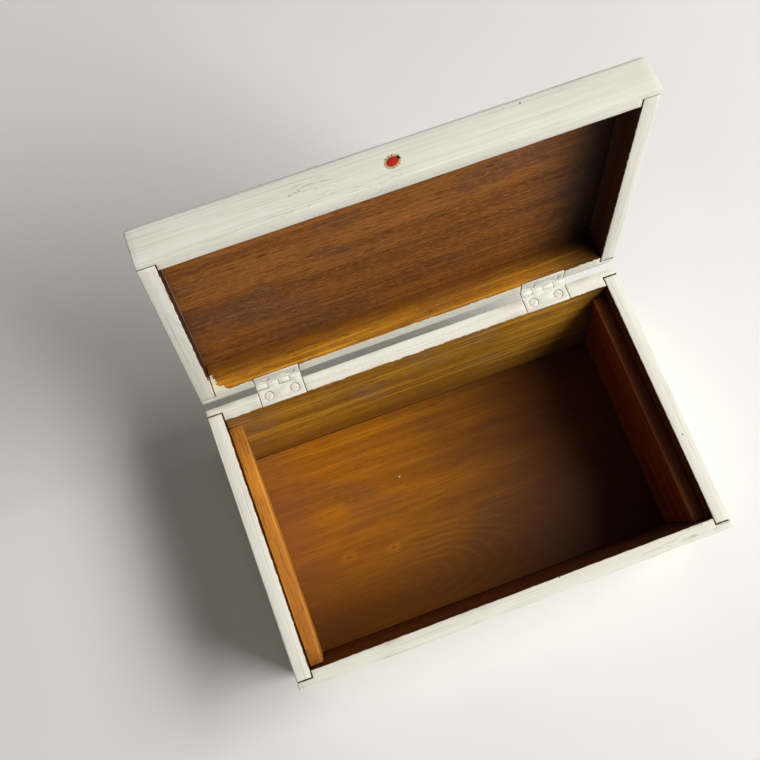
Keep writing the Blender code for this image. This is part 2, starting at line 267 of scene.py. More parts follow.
class Effects:
    """The shader node groups that the finishes share, each built once."""

    def __init__(self) -> None:
        """Build every group."""
        self.edges = self._edges()
        self.grain = self._grain()
        self.brush = self._brush()
        self.chips = self._chips()
        self.dust = self._dust()
        self.cracks = self._cracks()

    @staticmethod
    def _edges() -> NodeTree:
        """Distance over a plank's face to its nearest edge, from its own coordinates and half size."""
        effect = Effect("edge_distance", {"Place": VECTOR, "Half": VECTOR}, {"Distance": NUMBER})
        g = effect.graph
        inset = g.vector("SUBTRACT", effect.inputs["Half"], g.vector("ABSOLUTE", effect.inputs["Place"]))
        x, y, z = g.split(inset)
        total = g.plus(g.plus(x, y), z)
        most = g.math("MAXIMUM", g.math("MAXIMUM", x, y), z)
        least = g.math("MINIMUM", g.math("MINIMUM", x, y), z)
        effect.give(Distance=g.less(g.less(total, most), least))
        return effect.tree

    @staticmethod
    def _grain() -> NodeTree:
        """Straight-grained wood: bands, fibres, pores and cloudy patches along X."""
        effect = Effect("straight_grain", {"Vector": VECTOR, "Fineness": NUMBER},
                        {"Fibre": NUMBER, "Pore": NUMBER, "Band": NUMBER, "Cloud": NUMBER, "Streak": NUMBER,
                         "Line": NUMBER, "Fleck": NUMBER})
        g = effect.graph
        at, fineness = effect.inputs["Vector"], effect.inputs["Fineness"]
        fine = g.vector("MULTIPLY", at, g.join(g.math("SQRT", fineness), fineness, fineness))
        broad = g.noise(fine, (22.0, 520.0, 520.0), 4.0, 0.6, 0.3)
        thin = g.noise(fine, (70.0, 1300.0, 1300.0), 3.0, 0.6)
        fibre = g.plus(g.times(broad, 0.6), g.times(thin, 0.4))
        pore = g.fade(g.noise(at, (130.0, 1250.0, 1250.0), 2.0, 0.5), 0.57, 0.68)
        band = g.noise(fine, (4.0, 95.0, 95.0), 3.0, 0.55, 0.6)
        cloud = g.noise(at, (16.0, 26.0, 26.0), 3.0, 0.55, 0.4)
        streak = g.fade(g.noise(fine, (9.0, 340.0, 340.0), 2.0, 0.55, 0.5), 0.54, 0.64)
        line = g.fade(g.noise(fine, (7.0, 260.0, 310.0), 3.0, 0.6, 0.7), 0.57, 0.66)
        fleck = g.fade(g.noise(at, (260.0, 1500.0, 1500.0), 3.0, 0.6), 0.55, 0.66)
        effect.give(Fibre=fibre, Pore=pore, Band=band, Cloud=cloud, Streak=streak, Line=line, Fleck=fleck)
        return effect.tree

    @staticmethod
    def _brush() -> NodeTree:
        """Brush strokes along X and the soft lumps of thick old paint."""
        effect = Effect("brush_strokes", {"Vector": VECTOR},
                        {"Stroke": NUMBER, "Lump": NUMBER, "Hair": NUMBER})
        g = effect.graph
        at = effect.inputs["Vector"]
        stroke = g.noise(at, (14.0, 420.0, 420.0), 4.0, 0.6, 0.2)
        lump = g.noise(at, (70.0, 110.0, 110.0), 3.0, 0.5)
        hair = g.fade(g.noise(at, (12.0, 850.0, 850.0), 3.0, 0.6, 0.2), 0.55, 0.68)
        effect.give(Stroke=stroke, Lump=lump, Hair=hair)
        return effect.tree

    @staticmethod
    def _chips() -> NodeTree:
        """Chips and rubbed places in a film, most of them close to an edge."""
        effect = Effect("chipped_edges", {"Vector": VECTOR, "Distance": NUMBER, "Amount": NUMBER},
                        {"Chip": NUMBER, "Rub": NUMBER})
        g = effect.graph
        at, distance = effect.inputs["Vector"], effect.inputs["Distance"]
        far = g.fade(distance, 0.0, 0.0016)
        ragged = g.noise(at, (420.0, 620.0, 620.0), 4.0, 0.62, 0.5)
        where = g.noise(at, (34.0, 40.0, 40.0), 2.0, 0.5)
        need = g.plus(g.times(far, 0.30), 0.93)
        need = g.less(need, g.times(effect.inputs["Amount"], 0.3))
        found = g.plus(g.times(ragged, 0.8), g.times(where, 0.4))
        chip = g.fade(g.less(found, need), 0.0, 0.03)
        near = g.fade(distance, 0.0, 0.0011, 1.0, 0.0)
        rub = g.times(near, g.fade(where, 0.35, 0.75))
        effect.give(Chip=chip, Rub=rub)
        return effect.tree

    @staticmethod
    def _dust() -> NodeTree:
        """Scattered small specks."""
        effect = Effect("specks", {"Vector": VECTOR, "PerMetre": NUMBER, "Size": NUMBER}, {"Speck": NUMBER})
        g = effect.graph
        many = effect.inputs["PerMetre"]
        at = g.vector("MULTIPLY", effect.inputs["Vector"], g.join(many, many, many))
        node = g.add("ShaderNodeTexVoronoi")
        g.plug(at, node.inputs["Vector"])
        g.plug(1.0, node.inputs["Scale"])
        near = g.math("LESS_THAN", node.outputs["Distance"], effect.inputs["Size"])
        few = g.math("GREATER_THAN", g.split(node.outputs["Color"])[0], 0.55)
        effect.give(Speck=g.times(near, few))
        return effect.tree

    @staticmethod
    def _cracks() -> NodeTree:
        """Hairline cracks, mostly along X, in scattered patches."""
        effect = Effect("hairline_cracks", {"Vector": VECTOR}, {"Crack": NUMBER})
        g = effect.graph
        at = effect.inputs["Vector"]
        ridge = g.math("ABSOLUTE", g.less(g.noise(at, (34.0, 230.0, 230.0), 3.0, 0.6, 0.5), 0.5))
        where = g.fade(g.noise(at, (17.0, 26.0, 26.0), 2.0, 0.5), 0.58, 0.72)
        effect.give(Crack=g.times(g.fade(ridge, 0.001, 0.007, 0.8, 0.0), where))
        return effect.tree


# ---------------------------------------------------------------- finishes


@dataclass(frozen=True)
class Varnish:
    """A varnished wood: its colours, from the light bands to the dark ones, and its grain."""

    light: Colour
    middle: Colour
    dark: Colour
    patch: Colour
    fineness: float = 1.0
    patch_amount: float = 0.4
    pore_depth: float = 0.45
    roughness: float = 0.50
    streaks: float = 0.30
    flecks: float = 0.15
    # How far from one end the wood is darkened as painted shadow of the end board beside it; 0 for none.
    end_shade_reach: float = 0.0
    # Depths below the rim over which the wood darkens: painted shade in the inner corner at the board's foot.
    foot: Tuple[float, float] = (1.0, 2.0)

    def colour(self, g: Graph, effects: Effects, at: Socket) -> Tuple[object, object]:
        """The wood's colour and height.

        Args:
            g: The material's graph.
            effects: The shared node groups.
            at: Coordinates with X along the grain.

        Returns:
            A colour socket and a height socket.
        """
        grain = g.use(effects.grain, Vector=at, Fineness=self.fineness).outputs
        tone = g.mix(g.fade(grain["Band"], 0.34, 0.66), self.dark, self.light)
        tone = g.mix(g.fade(grain["Fibre"], 0.36, 0.64, 0.15, 0.75), self.middle, tone)
        tone = g.mix(g.times(g.fade(grain["Cloud"], 0.48, 0.66), self.patch_amount), tone, self.patch)
        tone = g.mix(g.times(grain["Pore"], self.pore_depth), tone, shaded(self.dark, 0.25))
        tone = g.mix(g.fade(grain["Fibre"], 0.3, 0.7, 0.35, 0.0), tone, shaded(self.dark, 0.5))
        bright = shaded(self.light, 1.2, 0.01)
        tone = g.mix(g.times(grain["Streak"], self.streaks), tone, bright)
        tone = g.mix(g.times(grain["Line"], 0.8 * self.streaks), tone, self.dark)
        tone = g.mix(g.times(grain["Fleck"], self.flecks), tone, bright)
        height = g.less(grain["Fibre"], g.times(grain["Pore"], 0.6))
        return tone, height


@dataclass(frozen=True)
class Paint:
    """Thick brushed paint over wood, with chips along its edges."""

    tone: Colour = (0.885, 0.880, 0.800)
    shade: Colour = (0.800, 0.785, 0.690)
    blush: Colour = (0.860, 0.825, 0.740)
    cream: Colour = (0.790, 0.720, 0.520)
    stain: Colour = (0.330, 0.230, 0.120)
    under: Colour = (0.120, 0.075, 0.040)
    chips: float = 0.55
    roughness: float = 0.42


OCHRE = Varnish((0.58, 0.29, 0.022), (0.40, 0.185, 0.018), (0.17, 0.066, 0.010), (0.27, 0.155, 0.085),
                patch_amount=0.60, streaks=0.40, end_shade_reach=0.030, foot=(0.038, 0.058))
AMBER = Varnish((0.78, 0.36, 0.018), (0.48, 0.19, 0.013), (0.16, 0.052, 0.007), (0.26, 0.085, 0.018),
                patch_amount=0.45, streaks=0.40, end_shade_reach=0.055, foot=(0.0095, 0.0155))
RUSSET = Varnish((0.19, 0.065, 0.014), (0.13, 0.042, 0.010), (0.07, 0.020, 0.006), (0.10, 0.042, 0.018),
                 fineness=1.2)
CHESTNUT = Varnish((0.46, 0.172, 0.030), (0.31, 0.108, 0.020), (0.11, 0.035, 0.010), (0.16, 0.072, 0.040),
                   fineness=1.3, patch_amount=0.60, pore_depth=0.70, roughness=0.62, streaks=0.15,
                   flecks=0.60, end_shade_reach=0.046)
HONEY = Varnish((0.56, 0.205, 0.006), (0.42, 0.145, 0.005), (0.22, 0.070, 0.005), (0.16, 0.066, 0.028),
                fineness=1.1, patch_amount=0.45, pore_depth=0.35, streaks=0.15, flecks=0.10)
ORANGE = Varnish((0.95, 0.40, 0.044), (0.74, 0.27, 0.024), (0.36, 0.11, 0.012), (0.42, 0.14, 0.018),
                 patch_amount=0.30, streaks=0.45, end_shade_reach=0.030)
# A near-black copy of RUSSET: painted shade on the inner faces of the lid's end boards.
UMBER_PAINTED_SHADE = Varnish((0.10, 0.030, 0.007), (0.07, 0.020, 0.005), (0.035, 0.010, 0.003), (0.05, 0.018, 0.007),
                fineness=1.2)
# A darker, redder copy of ORANGE: painted shade on the right batten, which stands in the right end board's
# shadow.
MAROON_PAINTED_SHADE = Varnish((0.34, 0.085, 0.010), (0.20, 0.042, 0.006), (0.08, 0.014, 0.004), (0.10, 0.020, 0.005),
                 patch_amount=0.30)
BARE = Varnish((0.42, 0.29, 0.17), (0.36, 0.24, 0.135), (0.28, 0.18, 0.10), (0.25, 0.17, 0.10),
               patch_amount=0.30)


class Finishes:
    """Makes and keeps the materials."""

    def __init__(self) -> None:
        """Build the shared groups first."""
        self.effects = Effects()
        self._made: Dict[str, Material] = {}

    def _start(self, name: str) -> Tuple[Material, Graph, Node]:
        """A new node material with only its Principled shader and output."""
        made = bpy.data.materials.new(name)
        made.use_nodes = True
        graph = Graph(made.node_tree)
        shader = made.node_tree.nodes["Principled BSDF"]
        self._made[name] = made
        return made, graph, shader

    def _bump(self, g: Graph, shader: Node, height: object, depth: float) -> None:
        """Drive a shader's normal from a height in the given depth, in metres."""
        bump = g.add("ShaderNodeBump")
        bump.inputs["Strength"].default_value = 1.0
        bump.inputs["Distance"].default_value = depth
        g.plug(height, bump.inputs["Height"])
        g.plug(bump.outputs[0], shader.inputs["Normal"])

    @staticmethod
    def _whereabouts(g: Graph) -> Tuple[Socket, Socket, Socket]:
        """A plank's place and half size, and its place shifted to a stretch of grain of its own."""
        place, half = g.attribute("place"), g.attribute("half")
        seed = g.attribute("seed", "Fac")
        return place, half, g.vector("ADD", place, g.join(seed, g.times(seed, 1.7), g.times(seed, 0.6)))

    @staticmethod
    def _painted_end_shadow(g: Graph, wood: object, from_end: object, varnish: Varnish, depth: float) -> Socket:
        """Darken the last stretch of a varnished board: painted shadow of the end board beside it."""
        amount = g.fade(from_end, SHADOW_START, SHADOW_START + varnish.end_shade_reach, depth, 0.0)
        return g.mix(amount, wood, shaded(varnish.dark, 0.12))

    def plank(self, name: str, paint: Paint, varnish: Varnish) -> Material:
        """Paint outside and on the rims, varnish on the faces that look into the box.

        Args:
            name: The material's name.
            paint: The outside's finish.
            varnish: The inside's finish.

        Returns:
            The material. It reads the plank's own attributes: place, half, seed, inside and creep.
        """
        if name in self._made:
            return self._made[name]
        made, g, shader = self._start(name)
        place, half, at = self._whereabouts(g)
        inside, creep = g.attribute("inside", "Fac"), g.attribute("creep", "Fac")
        distance = g.use(self.effects.edges, Place=place, Half=half).outputs["Distance"]
        brush = g.use(self.effects.brush, Vector=at).outputs
        worn = g.use(self.effects.chips, Vector=at, Distance=distance, Amount=paint.chips).outputs
        specks = g.use(self.effects.dust, Vector=at, PerMetre=95.0, Size=0.045).outputs["Speck"]
        cracks = g.use(self.effects.cracks, Vector=at).outputs["Crack"]

        film = g.mix(g.fade(brush["Stroke"], 0.36, 0.62, 0.30, 1.0), paint.shade, paint.tone)
        film = g.mix(g.fade(brush["Lump"], 0.55, 0.80, 0.0, 0.40), film, paint.shade)
        film = g.mix(g.times(brush["Hair"], 0.22), film, shaded(paint.shade, 0.78))
        film = g.mix(g.fade(g.noise(at, (9.0, 50.0, 50.0), 2.0, 0.5), 0.5, 0.68, 0.0, 0.6), film, paint.blush)
        film = g.mix(g.fade(inside, -0.004, 0.0, 0.0, 0.65), film, paint.cream)
        grime = g.times(g.fade(g.noise(at, (15.0, 34.0, 34.0), 3.0, 0.6), 0.56, 0.74),
                       g.fade(distance, 0.0, 0.0045, 0.50, 0.03))
        film = g.mix(grime, film, paint.stain)
        film = g.mix(g.times(worn["Rub"], 0.35), film, paint.stain)
        film = g.mix(g.times(cracks, 0.5), film, shaded(paint.stain, 0.6))
        film = g.mix(specks, film, shaded(paint.stain, 0.5))

        wood, relief = varnish.colour(g, self.effects, at)
        flecks = g.use(self.effects.dust, Vector=at, PerMetre=60.0, Size=0.032).outputs["Speck"]
        wood = g.mix(g.times(flecks, 0.8), wood, (0.62, 0.55, 0.42))
        # Distance from the board's right end, where the painted shadow of the right end board falls.
        along, reach = g.split(place)[0], g.split(half)[0]
        to_right = g.less(reach, along)
        to_right = g.plus(to_right, g.times(g.less(brush["Lump"], 0.5), 0.012))
        # Painted shade in the inner corner: the wood darkens over the foot depths, with a ragged edge.
        foot = g.plus(inside, g.times(g.less(brush["Lump"], 0.5), 0.006))
        wood = g.mix(g.fade(foot, *varnish.foot, 0.0, 0.75), wood, varnish.dark)
        wood = self._painted_end_shadow(g, wood, to_right, varnish, 0.93 if varnish.end_shade_reach else 0.0)

        ragged = g.noise(at, (240.0, 360.0, 360.0), 4.0, 0.62)
        wander = g.plus(g.times(creep, 1.6), 0.0032)
        line = g.times(g.less(ragged, 0.44), wander)
        line = g.plus(line, g.times(creep, 0.55))
        painted = g.fade(g.less(line, inside), -0.00008, 0.00008)
        chip = g.times(worn["Chip"], painted)
        colour = g.mix(painted, wood, film)
        colour = g.mix(chip, colour, paint.under)
        g.plug(colour, shader.inputs["Base Color"])
        gloss = g.blend(painted, varnish.roughness, paint.roughness)
        gloss = g.plus(gloss, g.times(brush["Lump"], 0.12))
        g.plug(g.blend(chip, gloss, 0.8), shader.inputs["Roughness"])
        film_height = g.plus(g.times(brush["Stroke"], 0.35), g.times(brush["Lump"], 0.5))
        film_height = g.less(film_height, g.times(brush["Hair"], 0.25))
        film_height = g.plus(film_height, 0.5)
        height = g.blend(painted, g.times(relief, 0.35), film_height)
        height = g.less(height, g.times(g.math("MAXIMUM", chip, g.times(cracks, painted)), 0.8))
        self._bump(g, shader, height, 0.00034)
        shader.inputs["Specular IOR Level"].default_value = OLD_VARNISH_SHINE
        return made

    def varnished(self, name: str, varnish: Varnish) -> Material:
        """Varnished wood on every face, a little rubbed along its edges."""
        if name in self._made:
            return self._made[name]
        made, g, shader = self._start(name)
        place, half, at = self._whereabouts(g)
        distance = g.use(self.effects.edges, Place=place, Half=half).outputs["Distance"]
        worn = g.use(self.effects.chips, Vector=at, Distance=distance, Amount=0.3).outputs
        wood, relief = varnish.colour(g, self.effects, at)
        wood = g.mix(g.times(worn["Rub"], 0.35), wood, shaded(varnish.light, 1.5))
        # Painted shade over the batten's back end, where it meets the back board.
        if varnish.end_shade_reach:
            to_back = g.less(g.split(half)[0], g.split(place)[0])
            wood = self._painted_end_shadow(g, wood, to_back, varnish, 0.45)
        g.plug(wood, shader.inputs["Base Color"])
        shader.inputs["Roughness"].default_value = varnish.roughness
        shader.inputs["Specular IOR Level"].default_value = RUBBED_SHINE
        self._bump(g, shader, relief, 0.0001)
        return made

    def bottom(self, name: str, varnish: Varnish, under: Varnish) -> Material:
        """The bottom panel: a flat-sawn board with a ring figure, two small knots, darker to the left and
        front, and painted shadow to the right.
        """
        made, g, shader = self._start(name)
        place, inside = g.attribute("place"), g.attribute("inside", "Fac")
        wood, relief = varnish.colour(g, self.effects, place)
        x, y, _ = g.split(place)
        wander = g.times(g.less(g.noise(place, (22.0, 40.0, 10.0), 2.0, 0.5), 0.5), 0.012)

        def ellipse(centre: Tuple[float, float], reach: Tuple[float, float]) -> Socket:
            """Distance from a centre, where 1 is the edge of an ellipse of that reach."""
            across = g.math("DIVIDE", g.plus(g.less(x, centre[0]), wander), reach[0])
            down = g.math("DIVIDE", g.plus(g.less(y, centre[1]), wander), reach[1])
            return g.math("SQRT", g.plus(g.times(across, across), g.times(down, down)))

        rings = ellipse((-0.048, -0.048), (0.078, 0.030))
        wave = g.math("SINE", g.times(g.math("POWER", rings, 0.85), 52.0))
        seen = g.times(g.fade(rings, 0.85, 1.5, 1.0, 0.0), g.fade(x, -0.050, -0.020))
        wood = g.mix(g.times(g.times(g.fade(wave, 0.45, 1.0), seen), 0.16), wood,
                     shaded(varnish.light, 1.5, 0.05))
        wood = g.mix(g.times(g.times(g.fade(wave, -1.0, -0.1, 1.0, 0.0), seen), 0.20), wood, varnish.dark)
        left = g.times(g.fade(g.plus(x, wander), -0.106, -0.068, 1.0, 0.0), 0.50)
        wood = g.mix(left, wood, varnish.patch)
        low = g.fade(g.plus(y, wander), -0.062, 0.014, 0.76, 0.0)
        wood = g.mix(low, wood, shaded(varnish.dark, 0.55))
        # Painted shadow of the right end board: the wood darkens to near black towards the right.
        right = g.fade(g.plus(x, wander), -0.066, 0.066, 0.0, 0.90)
        wood = g.mix(right, wood, (0.045, 0.0110, 0.0022))
        for centre, reach in (((-0.073, -0.017), 0.0016), ((-0.047, -0.021), 0.0013)):
            spot = ellipse(centre, (1.6 * reach, reach))
            wood = g.mix(g.fade(spot, 0.7, 3.0, 0.35, 0.0), wood, varnish.light)
            wood = g.mix(g.fade(spot, 0.4, 1.2, 0.6, 0.0), wood, shaded(varnish.dark, 0.5))
        flecks = g.use(self.effects.dust, Vector=place, PerMetre=48.0, Size=0.03).outputs["Speck"]
        wood = g.mix(g.times(flecks, 0.85), wood, (0.66, 0.58, 0.42))
        bare, _ = under.colour(g, self.effects, place)
        g.plug(g.mix(g.math("GREATER_THAN", inside, 0.0), bare, wood), shader.inputs["Base Color"])
        shader.inputs["Roughness"].default_value = 0.50
        shader.inputs["Specular IOR Level"].default_value = OLD_VARNISH_SHINE
        self._bump(g, shader, relief, 0.00006)
        return made

    def metal(self, name: str, paint: Paint) -> Material:
        """Hinge metal under the same paint, cracked away from its sharpest places."""
        if name in self._made:
            return self._made[name]
        made, g, shader = self._start(name)
        place, half = g.attribute("place"), g.attribute("half")
        seed = g.attribute("seed", "Fac")
        at = g.vector("ADD", place, g.join(seed, seed, seed))
        distance = g.use(self.effects.edges, Place=place, Half=half).outputs["Distance"]
        worn = g.use(self.effects.chips, Vector=at, Distance=distance, Amount=paint.chips).outputs
        brush = g.use(self.effects.brush, Vector=at).outputs
        film = g.mix(g.fade(brush["Lump"], 0.45, 0.8, 0.0, 0.35), paint.tone, paint.shade)
        spots = g.fade(g.noise(at, (900.0, 900.0, 900.0), 3.0, 0.6), 0.66, 0.74)
        chip = g.math("MAXIMUM", worn["Chip"], g.times(spots, 0.6))
        g.plug(g.mix(chip, film, paint.stain), shader.inputs["Base Color"])
        g.plug(g.blend(chip, paint.roughness, 0.5), shader.inputs["Roughness"])
        g.plug(g.times(worn["Chip"], 0.7), shader.inputs["Metallic"])
        height = g.less(g.times(brush["Lump"], 0.8), chip)
        self._bump(g, shader, height, 0.00018)
        return made

    def steel(self, name: str) -> Material:
        """Dull wire steel with a little rust."""
        made, g, shader = self._start(name)
        at = g.add("ShaderNodeTexCoord").outputs["Object"]
        rust = g.fade(g.noise(at, (700.0, 700.0, 700.0), 4.0, 0.6), 0.5, 0.68)
        g.plug(g.mix(rust, (0.36, 0.35, 0.34), (0.16, 0.07, 0.03)), shader.inputs["Base Color"])
        g.plug(g.blend(rust, 0.35, 0.85), shader.inputs["Roughness"])
        g.plug(g.less(1.0, rust), shader.inputs["Metallic"])
        self._bump(g, shader, rust, 0.00005)
        return made

    def print_ink(self, name: str, colour: Colour, fleck: Colour) -> Material:
        """Old printed ink, speckled and a little glossy."""
        made, g, shader = self._start(name)
        at = g.add("ShaderNodeTexCoord").outputs["Object"]
        grains = g.fade(g.noise(at, (2600.0, 2600.0, 2600.0), 3.0, 0.6), 0.5, 0.7)
        g.plug(g.mix(g.times(grains, 0.5), colour, fleck), shader.inputs["Base Color"])
        shader.inputs["Roughness"].default_value = 0.4
        self._bump(g, shader, grains, 0.00004)
        return made

    def floor(self, name: str, colour: Colour) -> Material:
        """A pale matt table top with a very slight mottle."""
        made, g, shader = self._start(name)
        at = g.add("ShaderNodeTexCoord").outputs["Object"]
        mottle = g.noise(at, (6.0, 6.0, 6.0), 3.0, 0.5)
        g.plug(g.mix(g.fade(mottle, 0.3, 0.7), shaded(colour, 0.975), colour), shader.inputs["Base Color"])
        g.plug(g.fade(mottle, 0.3, 0.7, 0.55, 0.62), shader.inputs["Roughness"])
        return made


# ---------------------------------------------------------------- mesh tools


def cube(low: Sequence[float], high: Sequence[float]) -> BMesh:
    """A box between two corners as a bmesh."""
    bm = bmesh.new()
    size, middle = Vector(high) - Vector(low), (Vector(high) + Vector(low)) / 2
    bmesh.ops.create_cube(bm, size=1.0, matrix=Matrix.Translation(middle) @ Matrix.Diagonal((*size, 1.0)))
    return bm


def as_object(name: str, bm: BMesh) -> Object:
    """Put a bmesh in a new object at the origin, and free the bmesh."""
    mesh = bpy.data.meshes.new(name)
    bm.to_mesh(mesh)
    bm.free()
    made = bpy.data.objects.new(name, mesh)
    bpy.context.scene.collection.objects.link(made)
    return made


def carve(bm: BMesh, tools: Iterable[BMesh]) -> BMesh:
    """Cut closed tools out of a closed mesh.

    Args:
        bm: The mesh to cut, which is used up.
        tools: The meshes to take away, which are used up.

    Returns:
        The cut mesh.
    """
    body = as_object("carving", bm)
    helpers = []
    for number, tool in enumerate(tools):
        helper = as_object(f"tool_{number}", tool)
        cut = body.modifiers.new(f"cut_{number}", "BOOLEAN")
        cut.operation, cut.solver, cut.object = "DIFFERENCE", "EXACT", helper
        helpers.append(helper)
    bpy.context.view_layer.update()
    shown = body.evaluated_get(bpy.context.evaluated_depsgraph_get())
    result = bmesh.new()
    result.from_mesh(shown.to_mesh())
    shown.to_mesh_clear()
    for helper in [body, *helpers]:
        mesh = helper.data
        bpy.data.objects.remove(helper)
        bpy.data.meshes.remove(mesh)
    bmesh.ops.dissolve_limit(result, angle_limit=math.radians(1.0), verts=result.verts, edges=result.edges)
    return result


def sharp_edges(bm: BMesh, degrees: float = 40.0) -> List[bmesh.types.BMEdge]:
    """The outward corners of a mesh that are sharper than an angle."""
    limit = math.radians(degrees)
    return [e for e in bm.edges if e.is_manifold and e.calc_face_angle_signed(0.0) > limit]


def ease(bm: BMesh, edges: Sequence[bmesh.types.BMEdge], radius: float, segments: int = 3) -> None:
    """Round edges of a bmesh."""
    bmesh.ops.bevel(bm, geom=list(edges), offset=radius, segments=segments, profile=0.5,
                    affect="EDGES", clamp_overlap=True, material=-1)


def slice_along(bm: BMesh, axis: int, spacing: float) -> None:
    """Cut a mesh into short lengths along an axis so that its faces can wander a little."""
    places = [v.co[axis] for v in bm.verts]
    low, high = min(places), max(places)
    count = max(1, round((high - low) / spacing))
    normal = Vector((0.0, 0.0, 0.0))
    normal[axis] = 1.0
    for number in range(1, count):
        point = normal * (low + (high - low) * number / count)
        bmesh.ops.bisect_plane(bm, geom=bm.verts[:] + bm.edges[:] + bm.faces[:], dist=TINY,
                               plane_co=point, plane_no=normal)


def smooth(piece: Object, degrees: float = 35.0) -> None:
    """Shade a piece smooth between its sharp edges."""
    piece.data.shade_smooth()
    piece.data.set_sharp_from_angle(angle=math.radians(degrees))


def vector_attribute(mesh: bpy.types.Mesh, name: str, values: Sequence[Vector]) -> None:
    """Store one vector for each vertex."""
    layer = mesh.attributes.new(name, "FLOAT_VECTOR", "POINT")
    layer.data.foreach_set("vector", [part for value in values for part in value])


def number_attribute(mesh: bpy.types.Mesh, name: str, values: Sequence[float], domain: str = "POINT") -> None:
    """Store one number for each vertex or face corner."""
    layer = mesh.attributes.new(name, "FLOAT", domain)
    layer.data.foreach_set("value", list(values))


# ---------------------------------------------------------------- the box


@dataclass(frozen=True)
class Plan:
    """The sizes that the planks share, in the frame of the shut box."""

    left: float
    right: float
    front: float
    back: float
    rim: float
    pin: Vector
    opening: float
    lean: float = 0.18
    gap: float = 0.3 * MM
    shut_gap: float = 0.4 * MM
    end_board: float = 8.2 * MM
    front_board: float = 7.8 * MM
    back_board: float = 9.0 * MM
    lip: float = 4.1 * MM
    bottom: float = 6.0 * MM
    batten: float = 7.5 * MM
    batten_drop: float = 10.0 * MM
    lid_height: float = 20.0 * MM
    lid_front_board: float = 9.2 * MM
    lid_back_board: float = 8.8 * MM
    lid_panel: float = 3.6 * MM
    hinge_inset: float = 42.7 * MM
    leaf_length: float = 25.0 * MM
    leaf: float = 0.9 * MM
    pocket_reach: float = 14.0 * MM
    screw_spacing: float = 14.6 * MM
    screw_inset: float = 4.2 * MM

    @classmethod
    def from_frame(cls) -> "Plan":
        """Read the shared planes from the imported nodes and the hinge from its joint."""
        front_low, front_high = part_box("base_front_board")
        _, back_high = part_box("base_back_board")
        hinge = frame["joints"][0]
        return cls(
            left=front_low.x, right=front_high.x, front=front_low.y, back=back_high.y, rim=front_high.z,
            pin=Vector(hinge["pos_m"]), opening=math.radians(-hinge["range_deg"][0]),
        )

    @property
    def lid_rim(self) -> float:
        """Height of the shut lid's rim."""
        return self.rim + self.shut_gap

    @property
    def lid_top(self) -> float:
        """Height of the shut lid's top."""
        return self.lid_rim + self.lid_height

    @property
    def inner(self) -> float:
        """Distance from the middle to an end board's inner face."""
        return self.right - self.end_board

    def opened(self) -> Matrix:
        """The turn that takes a point of the shut lid to the open one."""
        turn = Matrix.Rotation(-self.opening, 4, "X")
        return Matrix.Translation(self.pin) @ turn @ Matrix.Translation(-self.pin)

    def hinge_middles(self) -> List[Tuple[str, float]]:
        """Name and place of the two hinges."""
        middle = self.right - self.hinge_inset
        return [("left", -middle), ("right", middle)]


